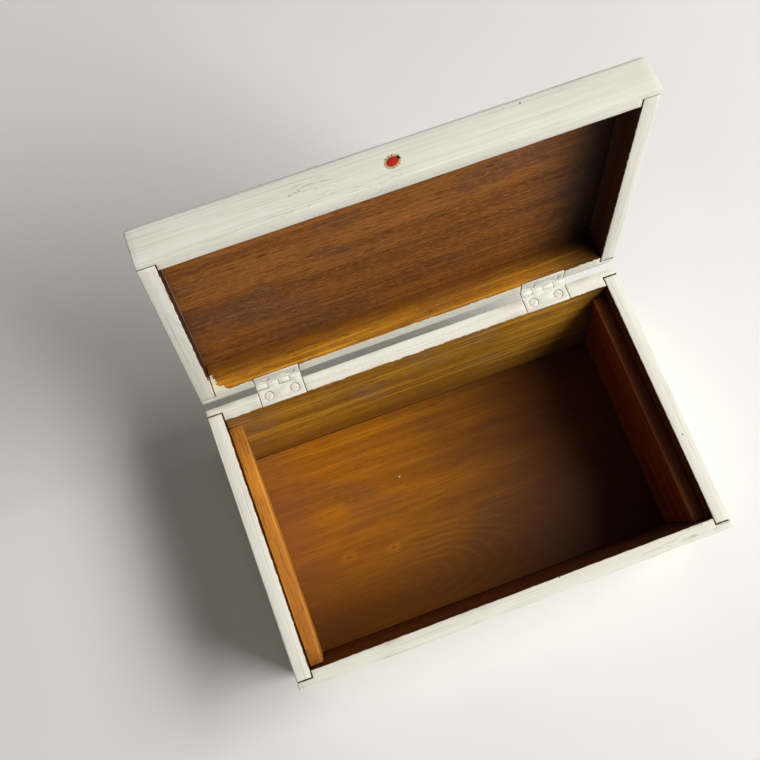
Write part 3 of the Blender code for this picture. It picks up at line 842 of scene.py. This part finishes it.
@dataclass
class Plank:
    """A board: a box between two corners, cut, eased, worn, leaned and dressed."""

    name: str
    low: Vector
    high: Vector
    body: Body
    slot: Slot
    material: Material
    run: Run = Run.ACROSS_BOX
    stance: Stance = Stance.UPRIGHT
    inward: Optional[Vector] = None
    seed: float = 0.0
    cuts: List[Block] = field(default_factory=list)
    rounded: Optional[Callable[[Vector], bool]] = None
    round_radius: float = 3.0 * MM
    edge_radius: float = 0.55 * MM
    wear: float = 0.16 * MM
    all_inside: bool = False
    creep: Optional[Callable[[Vector], float]] = None

    def build(self, plan: Plan) -> Object:
        """Make the plank.

        Args:
            plan: The box's shared sizes.

        Returns:
            The finished object, riding on its body.
        """
        bm = cube(self.low, self.high)
        if self.cuts:
            bm = carve(bm, [cube(low, high) for low, high in self.cuts])
        if self.rounded:
            edges = [e for e in bm.edges if all(self.rounded(v.co) for v in e.verts)
                     and self._runs_round(e)]
            ease(bm, edges, self.round_radius, 6)
        ease(bm, sharp_edges(bm), self.edge_radius, 3)
        slice_along(bm, self.run.value[0], 4.0 * MM)
        bm.normal_update()
        shut = [v.co.copy() for v in bm.verts]
        self._wear(bm)
        bm.verts.ensure_lookup_table()
        inside = self._inside(bm, plan)
        for vert in bm.verts:
            vert.co = self._settled(vert.co, plan)
        if self.body is Body.LID:
            bmesh.ops.transform(bm, matrix=plan.opened(), verts=bm.verts)
        made = as_object(self.name, bm)
        self._dress(made, shut, inside)
        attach(made, self.body.value)
        return made

    def _runs_round(self, edge: bmesh.types.BMEdge) -> bool:
        """Whether an edge lies along the outside of the plank's top, not across it."""
        start, end = (v.co for v in edge.verts)
        return any(abs(start[axis] - end[axis]) < TINY
                   and abs(abs(start[axis]) - self._outside(axis)) < 0.01 * MM for axis in (0, 1))

    def _outside(self, axis: int) -> float:
        """How far out the plank reaches along an axis."""
        return max(abs(self.low[axis]), abs(self.high[axis]))

    def _wear(self, bm: BMesh) -> None:
        """Let the faces wander inwards by a fraction of a millimetre."""
        shift = Vector((self.seed * 7.0, self.seed * 3.0, self.seed))
        for vert in bm.verts:
            slow = noise.noise(vert.co * 55.0 + shift)
            quick = noise.noise(vert.co * 260.0 + shift)
            vert.co = vert.co - vert.normal * self.wear * max(0.0, 0.45 + 0.9 * slow + 0.35 * quick)

    def _inside(self, bm: BMesh, plan: Plan) -> List[float]:
        """Depth below the rim for each corner of an inward face, and a negative number elsewhere."""
        found = []
        for face in bm.faces:
            if self._hidden(face, plan):
                found.extend([DEEP_INSIDE] * len(face.loops))
                continue
            looks_in = self.inward is not None and face.normal.dot(self.inward) > LOOKS_IN
            for loop in face.loops:
                height = loop.vert.co.z
                depth = height - plan.lid_rim if self.body is Body.LID else plan.rim - height
                if self.all_inside:
                    depth = DEEP_INSIDE
                found.append(depth if looks_in else OUTSIDE)
        return found

    def _hidden(self, face: bmesh.types.BMFace, plan: Plan) -> bool:
        """Whether a face is buried in a joint or a hinge pocket, where no paint reaches."""
        if self.slot is not Slot.PAINTED or self.all_inside:
            return False
        if self.run is Run.FRONT_TO_BACK:
            return abs(face.normal.y) > FACES
        middle = face.calc_center_median()
        if abs(face.normal.x) > FACES:
            return abs(middle.x) < plan.right - 0.5 * MM
        if face.normal.dot(self.inward) > FACES and abs(middle.x) > plan.inner:
            return True
        rim, up = (plan.rim, 1.0) if self.body is Body.BOX else (plan.lid_rim, -1.0)
        return face.normal.z * up > FACES and (rim - middle.z) * up > 0.5 * MM

    def _settled(self, at: Vector, plan: Plan) -> Vector:
        """Move a point from an upright plank to the leaning one."""
        move = plan.lean * (plan.rim - at.z)
        if self.stance is Stance.LEANS_BACK:
            return Vector((at.x, at.y + move, at.z))
        if self.stance is Stance.LEANS_FORWARD:
            return Vector((at.x, at.y - move, at.z))
        if self.stance is Stance.TAPERS:
            middle, half = (self.low.y + self.high.y) / 2, (self.high.y - self.low.y) / 2
            return Vector((at.x, at.y - move * (at.y - middle) / half, at.z))
        return at

    def _dress(self, made: Object, shut: Sequence[Vector], inside: Sequence[float]) -> None:
        """Give the mesh its attributes, shading and material."""
        middle, half = (self.low + self.high) / 2, (self.high - self.low) / 2
        order = self.run.value
        vector_attribute(made.data, "place", [Vector([(at - middle)[a] for a in order]) for at in shut])
        vector_attribute(made.data, "half", [Vector([half[a] for a in order])] * len(shut))
        number_attribute(made.data, "seed", [self.seed] * len(shut))
        number_attribute(made.data, "inside", inside, "CORNER")
        number_attribute(made.data, "creep", [self.creep(at) if self.creep else 0.0 for at in shut])
        smooth(made)
        made.data.materials.append(self.material)


class Carcass:
    """The planks of the base and the lid."""

    def __init__(self, plan: Plan, finishes: Finishes) -> None:
        """Keep what every plank needs.

        Args:
            plan: The shared sizes.
            finishes: The material maker.
        """
        self.plan = plan
        self.paint = Paint()
        self.finishes = finishes

    def _plank_finish(self, label: str, varnish: Varnish) -> Material:
        """Painted outside, varnished inside."""
        return self.finishes.plank(f"painted_{label}", self.paint, varnish)

    def _rebates(self, outer: float, inwards: int, thickness: float, low: float, high: float) -> List[Block]:
        """The two end rebates of a long board, as boxes to cut away."""
        p, over = self.plan, 2 * MM
        lip, inner = outer + inwards * p.lip, outer + inwards * (thickness + over)
        step = p.inner - p.gap
        near, far = min(lip, inner), max(lip, inner)
        return [(Vector((p.left - over, near, low - over)), Vector((-step, far, high + over))),
                (Vector((step, near, low - over)), Vector((p.right + over, far, high + over)))]

    def _pockets(self, face: float, downwards: int) -> List[Block]:
        """The two pockets for hinge leaves in a back board's rim, as boxes to cut away."""
        p, over = self.plan, 2 * MM
        found = []
        for _, middle in p.hinge_middles():
            reach = p.leaf_length / 2 + p.gap
            floor = face - downwards * (p.leaf + p.gap)
            low, high = min(floor, face + downwards * over), max(floor, face + downwards * over)
            found.append((Vector((middle - reach, p.back - p.pocket_reach, low)),
                          Vector((middle + reach, p.back + over, high))))
        return found

    def _long_board(self, name: str, body: Body, outer: float, inwards: int, thickness: float,
                    finish: Material, stance: Stance, seed: float, pockets: Sequence[Block] = (),
                    **others: object) -> Plank:
        """A front or back board, rebated at both ends.

        Args:
            name: The board's name.
            body: The body it belongs to, which gives its two heights.
            outer: Where its outer face stands.
            inwards: 1 or -1, the way from its outer face into the box.
            thickness: Its thickness.
            finish: Its material.
            stance: How it stands.
            seed: What makes its wear its own.
            pockets: Hinge pockets to cut from it as well.
            others: Any other settings of the plank.

        Returns:
            The plank.
        """
        p = self.plan
        low, high = (0.0, p.rim) if body is Body.BOX else (p.lid_rim, p.lid_top)
        y = sorted((outer, outer + inwards * thickness))
        return Plank(name, Vector((p.left, y[0], low)), Vector((p.right, y[1], high)), body, Slot.PAINTED,
                     finish, Run.ACROSS_BOX, stance, Vector((0, inwards, 0)), seed,
                     [*self._rebates(outer, inwards, thickness, low, high), *pockets], **others)

    def _end_board(self, name: str, body: Body, sign: int, finish: Material, stance: Stance, seed: float,
                   **others: object) -> Plank:
        """An end board, standing in the rebates of the two long boards.

        Args:
            name: The board's name.
            body: The body it belongs to, which gives its two heights.
            sign: -1 for the left end, 1 for the right.
            finish: Its material.
            stance: How it stands.
            seed: What makes its wear its own.
            others: Any other settings of the plank.

        Returns:
            The plank.
        """
        p = self.plan
        low, high = (0.0, p.rim) if body is Body.BOX else (p.lid_rim, p.lid_top)
        x = sorted((sign * p.inner, sign * p.right))
        return Plank(name, Vector((x[0], p.front + p.lip + p.gap, low)),
                     Vector((x[1], p.back - p.lip - p.gap, high)), body, Slot.PAINTED, finish,
                     Run.FRONT_TO_BACK, stance, Vector((-sign, 0, 0)), seed, **others)

    def base(self) -> List[Plank]:
        """The seven planks of the base, with the two battens among them."""
        p = self.plan
        front_inner, back_inner = p.front + p.front_board + p.gap, p.back - p.back_board - p.gap
        planks = [
            self._long_board("front_board", Body.BOX, p.front, 1, p.front_board,
                             self._plank_finish("front", RUSSET), Stance.LEANS_BACK, 0.31),
            self._long_board("back_board", Body.BOX, p.back, -1, p.back_board,
                             self._plank_finish("back", OCHRE), Stance.LEANS_FORWARD, 0.77,
                             self._pockets(p.rim, 1)),
        ]
        # The right batten's varnish is darker than the left batten's ORANGE: painted shade.
        for side, sign, seed, tone in (("left", -1, 1.13, ORANGE), ("right", 1, 1.59, MAROON_PAINTED_SHADE)):
            planks.append(self._end_board(f"{side}_end_board", Body.BOX, sign,
                                          self._plank_finish("end", RUSSET), Stance.TAPERS, seed))
            x = sorted((sign * (p.inner - p.gap), sign * (p.inner - p.gap - p.batten)))
            planks.append(Plank(
                f"{side}_rest_batten", Vector((x[0], front_inner, p.bottom + p.gap)),
                Vector((x[1], back_inner, p.rim - p.batten_drop)), Body.BOX, Slot.VARNISHED,
                self.finishes.varnished(f"{side}_batten_varnish", tone), Run.FRONT_TO_BACK, Stance.TAPERS,
                Vector((-sign, 0, 0)), seed + 0.4, edge_radius=0.7 * MM, wear=0.28 * MM))
        across = p.inner - p.gap
        planks.append(Plank(
            "bottom_panel", Vector((-across, front_inner, 0.0)), Vector((across, back_inner, p.bottom)),
            Body.BOX, Slot.VARNISHED, self.finishes.bottom("bottom_varnish", HONEY, BARE), Run.ACROSS_BOX,
            Stance.TAPERS, Vector((0, 0, 1)), 0.0, all_inside=True, edge_radius=0.3 * MM, wear=0.1 * MM))
        return planks

    def lid(self) -> List[Plank]:
        """The five planks of the lid, as they lie when it is shut."""
        p = self.plan

        def crown(at: Vector) -> bool:
            """Whether a point is on the lid's top."""
            return abs(at.z - p.lid_top) < TINY

        def smeared(at: Vector) -> float:
            """How far paint has run over the inner edge near the back left corner."""
            along = max(0.0, 1.0 - (at.x + p.inner) / (8 * MM))
            return 24.0 * MM * along * max(0.0, 1.0 - (p.back - at.y) / (26 * MM))

        planks = [
            self._long_board("lid_front", Body.LID, p.front, 1, p.lid_front_board,
                             self._plank_finish("lid_front", RUSSET), Stance.UPRIGHT, 2.21, rounded=crown),
            self._long_board("lid_back", Body.LID, p.back, -1, p.lid_back_board,
                             self._plank_finish("lid_back", AMBER), Stance.UPRIGHT, 2.83,
                             self._pockets(p.lid_rim, -1), rounded=crown, creep=smeared),
        ]
        # The lid's end boards are varnished near-black inside: painted shade, as the lid's right end stands
        # in shadow.
        for side, sign, seed in (("left", -1, 3.17), ("right", 1, 3.71)):
            planks.append(self._end_board(f"lid_{side}_end_board", Body.LID, sign,
                                          self._plank_finish("lid_end", UMBER_PAINTED_SHADE), Stance.UPRIGHT, seed,
                                          rounded=crown, creep=smeared))
        across = p.inner - p.gap
        planks.append(Plank(
            "lid_panel", Vector((-across, p.front + p.lid_front_board + p.gap, p.lid_top - p.lid_panel)),
            Vector((across, p.back - p.lid_back_board - p.gap, p.lid_top)), Body.LID, Slot.PAINTED,
            self._plank_finish("lid_panel", CHESTNUT), Run.ACROSS_BOX, Stance.UPRIGHT,
            Vector((0, 0, -1)), 4.41, all_inside=True, edge_radius=0.3 * MM, wear=0.1 * MM))
        return planks

    STANDS_FOR = {
        "front_board": "base_front_board", "back_board": "base_back_board",
        "left_end_board": "base_left_end", "right_end_board": "base_right_end",
        "left_rest_batten": "left_batten", "right_rest_batten": "right_batten",
        "bottom_panel": "base_bottom_panel",
        "lid_front": "lid_front_board", "lid_back": "lid_back_board",
        "lid_left_end_board": "lid_left_end", "lid_right_end_board": "lid_right_end",
        "lid_panel": "lid_top_panel",
    }

    def build(self) -> None:
        """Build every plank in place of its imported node."""
        for plank in self.base() + self.lid():
            made = plank.build(self.plan)
            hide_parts(self.STANDS_FOR[plank.name])
            LOG.info("plank %s: %d faces", made.name, len(made.data.polygons))


@dataclass
class Hinges:
    """Two small butt hinges, painted over with the box."""

    plan: Plan
    finishes: Finishes
    head_radius: float = 2.4 * MM
    shank_radius: float = 1.1 * MM
    screw_length: float = 9.5 * MM
    slot_width: float = 0.5 * MM
    slot_depth: float = 0.35 * MM
    softening: float = 0.12 * MM

    def build(self) -> None:
        """Build leaves, pins and screws."""
        paint = Paint(chips=0.50, tone=(0.84, 0.825, 0.745), shade=(0.74, 0.715, 0.63))
        film = self.finishes.metal("painted_hinge", paint)
        for side, middle in self.plan.hinge_middles():
            for body, leaf in ((Body.BOX, "base_leaf"), (Body.LID, "lid_leaf")):
                self._softened(f"{side}_hinge_{leaf}", f"{side}_{leaf}", body, film, middle)
                self._screws(side, middle, body, film)
            self._softened(f"{side}_hinge_pin", f"{side}_hinge_wire", Body.BOX, film, middle)

    def _softened(self, node: str, name: str, body: Body, film: Material, seed: float) -> None:
        """Rebuild a packed hinge piece with merged faces and slightly rounded edges."""
        bm = bmesh.new()
        bm.from_mesh(frame["nodes"][node].data)
        for layer in list(bm.loops.layers.uv):
            bm.loops.layers.uv.remove(layer)
        bmesh.ops.remove_doubles(bm, verts=bm.verts, dist=2 * TINY)
        bmesh.ops.dissolve_limit(bm, angle_limit=math.radians(2.0), verts=bm.verts, edges=bm.edges)
        ease(bm, sharp_edges(bm, 50.0), self.softening, 2)
        made = as_object(name, bm)
        self._finish(made, body, film, seed)
        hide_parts(node)

    def _finish(self, made: Object, body: Body, film: Material, seed: float) -> None:
        """Give a metal piece its attributes, material and body."""
        middle = Vector((0.0, self.plan.back, self.plan.rim))
        places = [v.co - middle for v in made.data.vertices]
        vector_attribute(made.data, "place", places)
        vector_attribute(made.data, "half", [Vector((1.0, 1.0, 1.0))] * len(places))
        number_attribute(made.data, "seed", [seed] * len(places))
        smooth(made, 40.0)
        made.data.materials.clear()
        made.data.materials.append(film)
        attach(made, body.value)
        LOG.info("hinge piece %s", made.name)

    def _screws(self, side: str, middle: float, body: Body, film: Material) -> None:
        """Build the two slotted screws of one leaf."""
        p = self.plan
        up = 1 if body is Body.BOX else -1
        face = p.rim if body is Body.BOX else p.lid_rim
        sign = -1 if side == "left" else 1
        part = "base" if body is Body.BOX else "lid"
        for row, step, turn in (("outer", sign, 0.7), ("inner", -sign, 2.3)):
            bm = self._screw(turn + middle * 9.0 + up)
            place = Matrix.Translation((middle + step * p.screw_spacing / 2, p.back - p.screw_inset, face))
            if up < 0:
                place = place @ Matrix.Rotation(math.pi, 4, "X")
            if body is Body.LID:
                place = p.opened() @ place
            bmesh.ops.transform(bm, matrix=place, verts=bm.verts)
            made = as_object(f"{side}_{part}_screw_{row}", bm)
            self._finish(made, body, film, middle + step)
            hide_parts(f"{side}_hinge_{part}_screw_{row}")

    def _screw(self, turn: float) -> BMesh:
        """A countersunk screw with its head at height 0 and a slot across it."""
        head, shank = self.head_radius, self.shank_radius
        profile = [(0.0, -0.06 * MM), (0.6 * head, -0.10 * MM), (0.9 * head, -0.20 * MM), (head, -0.40 * MM),
                   (shank, -1.7 * MM), (shank, 1.5 * MM - self.screw_length),
                   (0.45 * shank, 0.4 * MM - self.screw_length), (0.0, 0.0 - self.screw_length)]
        bm = bmesh.new()
        verts = [bm.verts.new((radius, 0.0, height)) for radius, height in profile]
        edges = [bm.edges.new(pair) for pair in zip(verts, verts[1:])]
        bmesh.ops.spin(bm, geom=verts + edges, cent=(0, 0, 0), axis=(0, 0, 1), angle=2 * math.pi,
                       steps=28, use_merge=True)
        bmesh.ops.remove_doubles(bm, verts=bm.verts, dist=TINY)
        bmesh.ops.recalc_face_normals(bm, faces=bm.faces)
        slot = cube((-2 * head, -self.slot_width / 2, -self.slot_depth - 0.06 * MM),
                    (2 * head, self.slot_width / 2, MM))
        bmesh.ops.transform(slot, matrix=Matrix.Rotation(turn, 4, "Z"), verts=slot.verts)
        return carve(bm, [slot])


@dataclass
class Transfer:
    """A small ladybird transfer on the lid's front board, in the maker's own plain design."""

    plan: Plan
    finishes: Finishes
    length: float = 6.2 * MM
    width: float = 4.6 * MM
    turn: float = math.radians(20.0)
    across: float = -2.2 * MM
    below: float = 1.4 * MM

    def _dome(self, bm: BMesh, at: Tuple[float, float], size: Triple, lift: float, slot: int,
              angle: float = 0.0) -> None:
        """Add a flattened dome standing on the face, with a material index."""
        before = set(bm.faces)
        made = bmesh.ops.create_uvsphere(bm, u_segments=24, v_segments=12, radius=1.0)
        place = (Matrix.Translation((at[0], at[1], lift)) @ Matrix.Rotation(angle, 4, "Z")
                 @ Matrix.Diagonal((size[0] / 2, size[1] / 2, size[2], 1.0)))
        bmesh.ops.transform(bm, matrix=place, verts=made["verts"])
        for face in bm.faces:
            if face not in before:
                face.material_index = slot

    def build(self) -> None:
        """Build the ladybird lying on its patch of old varnish."""
        red, black, amber = 0, 1, 2
        bm = bmesh.new()
        self._dome(bm, (0.0, 0.0), (self.length * 1.34, self.width * 1.42, 0.05 * MM), 0.02 * MM, amber, 0.2)
        self._dome(bm, (0.0, 0.0), (self.length, self.width, 0.26 * MM), 0.04 * MM, red)
        self._dome(bm, (self.length * 0.50, 0.0), (1.5 * MM, 2.2 * MM, 0.22 * MM), 0.05 * MM, black)
        self._dome(bm, (0.3 * MM, 0.0), (self.length * 0.86, 0.16 * MM, 0.29 * MM), 0.045 * MM, black)
        for x, y in ((-1.3, 1.05), (-1.3, -1.05), (0.35, 1.25), (0.35, -1.25), (1.75, 0.7), (1.75, -0.7)):
            self._dome(bm, (x * MM, y * MM), (0.72 * MM, 0.66 * MM, 0.27 * MM), 0.035 * MM, black)
        for x, lean in ((1.6, -0.5), (0.0, 0.0), (-1.6, 0.5)):
            for side in (-1, 1):
                self._dome(bm, (x * MM, side * 2.65 * MM), (0.24 * MM, 1.3 * MM, 0.1 * MM), 0.05 * MM, black,
                           side * lean)
        for side in (-1, 1):
            feeler = (self.length * 0.5 + 0.95 * MM, side * 0.75 * MM)
            self._dome(bm, feeler, (1.2 * MM, 0.16 * MM, 0.08 * MM), 0.05 * MM, black, side * 0.6)
        p = self.plan
        middle = Vector((self.across, p.front, (p.lid_rim + p.lid_top) / 2 - self.below))
        upright = Matrix.Rotation(math.pi / 2, 4, "X")
        face = Matrix.Translation(middle) @ upright @ Matrix.Rotation(self.turn, 4, "Z")
        bmesh.ops.transform(bm, matrix=p.opened() @ face, verts=bm.verts)
        made = as_object("ladybird", bm)
        smooth(made)
        for name, colour, fleck in (("ladybird_red", (0.55, 0.020, 0.012), (0.30, 0.008, 0.006)),
                                    ("ladybird_black", (0.020, 0.014, 0.012), (0.10, 0.03, 0.02)),
                                    ("ladybird_patch", (0.62, 0.48, 0.22), (0.74, 0.66, 0.46))):
            made.data.materials.append(self.finishes.print_ink(name, colour, fleck))
        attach(made, Body.LID.value)
        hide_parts("ladybird_transfer")
        LOG.info("transfer %s", made.name)


def dress_nails(finishes: Finishes) -> None:
    """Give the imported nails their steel."""
    steel = finishes.steel("pin_steel")
    for name, node in frame["nodes"].items():
        if "nail" in name:
            node.data.materials.clear()
            node.data.materials.append(steel)


# ---------------------------------------------------------------- studio


@dataclass
class Studio:
    """Floor, light and camera."""

    finishes: Finishes
    eye: Triple = (-0.08641, -0.11320, 0.67337)
    gaze: Triple = (0.09606, 0.27488, -0.95667)
    upward: Triple = (0.33346, 0.89669, 0.29112)
    lens: float = 55.436
    key_from: Triple = (0.68, -0.28, 0.67)
    key_distance: float = 2.5
    key_size: Tuple[float, float] = (2.3, 1.0)
    key_power: float = 82.0
    key_tint: Colour = (1.0, 0.985, 0.96)
    sky: Colour = (1.0, 0.94, 0.82)
    sky_strength: float = 0.130
    floor_tone: Colour = (0.84, 0.845, 0.83)

    def build(self) -> None:
        """Set up the floor, the light and the camera."""
        self._floor()
        self._light()
        self._camera()

    def _floor(self) -> None:
        """A wide pale floor."""
        bm = bmesh.new()
        bmesh.ops.create_grid(bm, x_segments=8, y_segments=8, size=3.0)
        bmesh.ops.translate(bm, verts=bm.verts, vec=(0, 0, -0.05 * MM))
        floor = as_object("floor", bm)
        floor.data.materials.append(self.finishes.floor("pale_floor", self.floor_tone))

    def _light(self) -> None:
        """A wide window to the right and a faint warm sky."""
        self._lamp("window", self.key_from, self.key_distance, self.key_size, self.key_power, self.key_tint)
        world = bpy.data.worlds.new("sky")
        world.use_nodes = True
        background = world.node_tree.nodes["Background"]
        background.inputs["Color"].default_value = (*self.sky, 1.0)
        background.inputs["Strength"].default_value = self.sky_strength
        bpy.context.scene.world = world

    def _lamp(self, name: str, away: Triple, distance: float, size: Tuple[float, float], power: float,
              colour: Colour) -> None:
        """Hang a rectangular lamp in a direction from the box, facing it."""
        lamp = bpy.data.lights.new(name, "AREA")
        lamp.shape, lamp.energy, lamp.color = "RECTANGLE", power, colour
        lamp.size, lamp.size_y = size
        hung = bpy.data.objects.new(name, lamp)
        bpy.context.scene.collection.objects.link(hung)
        outward = Vector(away).normalized()
        hung.location = outward * distance + Vector((0.0, 0.0, 0.05))
        hung.rotation_euler = outward.to_track_quat("Z", "Y").to_euler()

    def _camera(self) -> None:
        """Look down on the open box from the front left."""
        lens = bpy.data.cameras.new("camera")
        lens.sensor_width, lens.lens = 36.0, self.lens
        lens.clip_start = 0.01
        camera = bpy.data.objects.new("camera", lens)
        bpy.context.scene.collection.objects.link(camera)
        back = -Vector(self.gaze).normalized()
        right = Vector(self.upward).cross(back).normalized()
        up = back.cross(right)
        turn = Matrix((right, up, back)).transposed()
        camera.matrix_world = Matrix.Translation(self.eye) @ turn.to_4x4()
        bpy.context.scene.camera = camera
        bpy.context.scene.view_settings.view_transform = "Standard"


def main() -> None:
    """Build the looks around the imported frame."""
    logging.basicConfig(level=logging.INFO, format="%(name)s: %(message)s")
    plan = Plan.from_frame()
    finishes = Finishes()
    Carcass(plan, finishes).build()
    Hinges(plan, finishes).build()
    Transfer(plan, finishes).build()
    dress_nails(finishes)
    Studio(finishes).build()
    bpy.context.view_layer.update()


if __name__ == "__main__":
    main()
